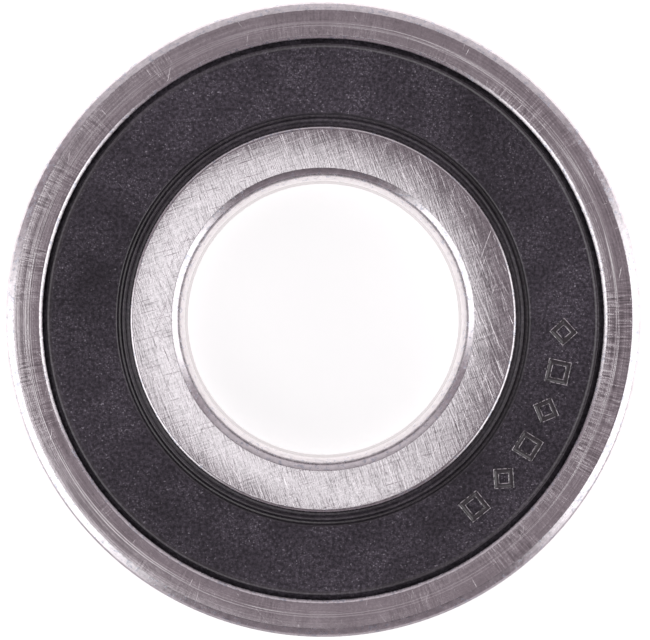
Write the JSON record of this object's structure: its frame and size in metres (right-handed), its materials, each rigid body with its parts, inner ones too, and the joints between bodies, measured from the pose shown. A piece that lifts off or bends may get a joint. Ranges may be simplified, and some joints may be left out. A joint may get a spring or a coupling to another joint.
{
  "type": "ball bearing",
  "caption": "Sealed single-row deep groove ball bearing: ground steel rings, caged balls and a rubber lip seal on each side; the inner ring turns freely.",
  "frame": {"origin": "middle of the bearing: on its axis, halfway between the two ring faces", "axes": "+Z along the bearing's axis, towards the front face; X and Y across it, with the first ball on +X"},
  "size_m": [0.08, 0.08, 0.021],
  "materials": {
    "ring_steel": "ground bearing steel with fine cross-hatched grinding marks",
    "ball_steel": "lapped and polished bearing steel",
    "cage_steel": "pressed sheet steel, oiled",
    "rivet_steel": "cold-headed steel",
    "insert_steel": "phosphated sheet steel, matte",
    "seal_rubber": "matte moulded nitrile rubber, lightly dusty"
  },
  "bodies": {
    "outer": {"outer_ring": "ring_steel", "seal_rubber_front": "seal_rubber", "seal_rubber_back": "seal_rubber", "seal_insert_front": "insert_steel", "seal_insert_back": "insert_steel"},
    "inner": {"inner_ring": "ring_steel"},
    "cage": {"cage_half_front": "cage_steel", "cage_half_back": "cage_steel", "cage_rivet_1": "rivet_steel", "cage_rivet_2": "rivet_steel", "cage_rivet_3": "rivet_steel", "cage_rivet_4": "rivet_steel", "cage_rivet_5": "rivet_steel", "cage_rivet_6": "rivet_steel", "cage_rivet_7": "rivet_steel", "cage_rivet_8": "rivet_steel"},
    "ball_1_body": {"ball_1": "ball_steel"},
    "ball_2_body": {"ball_2": "ball_steel"},
    "ball_3_body": {"ball_3": "ball_steel"},
    "ball_4_body": {"ball_4": "ball_steel"},
    "ball_5_body": {"ball_5": "ball_steel"},
    "ball_6_body": {"ball_6": "ball_steel"},
    "ball_7_body": {"ball_7": "ball_steel"},
    "ball_8_body": {"ball_8": "ball_steel"}
  },
  "joints": [
    {"name": "inner_spin", "type": "hinge", "parent": "outer", "child": "inner", "pos_m": [0, 0, 0], "axis": [0, 0, 1], "continuous": true},
    {"name": "cage_spin", "type": "hinge", "parent": "outer", "child": "cage", "pos_m": [0, 0, 0], "axis": [0, 0, 1], "continuous": true},
    {"name": "ball_1_spin", "type": "hinge", "parent": "cage", "child": "ball_1_body", "pos_m": [0.02875, 0, 0], "axis": [0, 0, 1], "continuous": true},
    {"name": "ball_2_spin", "type": "hinge", "parent": "cage", "child": "ball_2_body", "pos_m": [0.02033, 0.02033, 0], "axis": [0, 0, 1], "continuous": true},
    {"name": "ball_3_spin", "type": "hinge", "parent": "cage", "child": "ball_3_body", "pos_m": [0, 0.02875, 0], "axis": [0, 0, 1], "continuous": true},
    {"name": "ball_4_spin", "type": "hinge", "parent": "cage", "child": "ball_4_body", "pos_m": [-0.02033, 0.02033, 0], "axis": [0, 0, 1], "continuous": true},
    {"name": "ball_5_spin", "type": "hinge", "parent": "cage", "child": "ball_5_body", "pos_m": [-0.02875, 0, 0], "axis": [0, 0, 1], "continuous": true},
    {"name": "ball_6_spin", "type": "hinge", "parent": "cage", "child": "ball_6_body", "pos_m": [-0.02033, -0.02033, 0], "axis": [0, 0, 1], "continuous": true},
    {"name": "ball_7_spin", "type": "hinge", "parent": "cage", "child": "ball_7_body", "pos_m": [0, -0.02875, 0], "axis": [0, 0, 1], "continuous": true},
    {"name": "ball_8_spin", "type": "hinge", "parent": "cage", "child": "ball_8_body", "pos_m": [0.02033, -0.02033, 0], "axis": [0, 0, 1], "continuous": true}
  ],
  "couplings": [
    {"joint": "cage_spin", "follows": "inner_spin", "ratio": 0.38266},
    {"joint": "ball_1_spin", "follows": "inner_spin", "ratio": -2.0132},
    {"joint": "ball_2_spin", "follows": "inner_spin", "ratio": -2.0132},
    {"joint": "ball_3_spin", "follows": "inner_spin", "ratio": -2.0132},
    {"joint": "ball_4_spin", "follows": "inner_spin", "ratio": -2.0132},
    {"joint": "ball_5_spin", "follows": "inner_spin", "ratio": -2.0132},
    {"joint": "ball_6_spin", "follows": "inner_spin", "ratio": -2.0132},
    {"joint": "ball_7_spin", "follows": "inner_spin", "ratio": -2.0132},
    {"joint": "ball_8_spin", "follows": "inner_spin", "ratio": -2.0132}
  ]
}
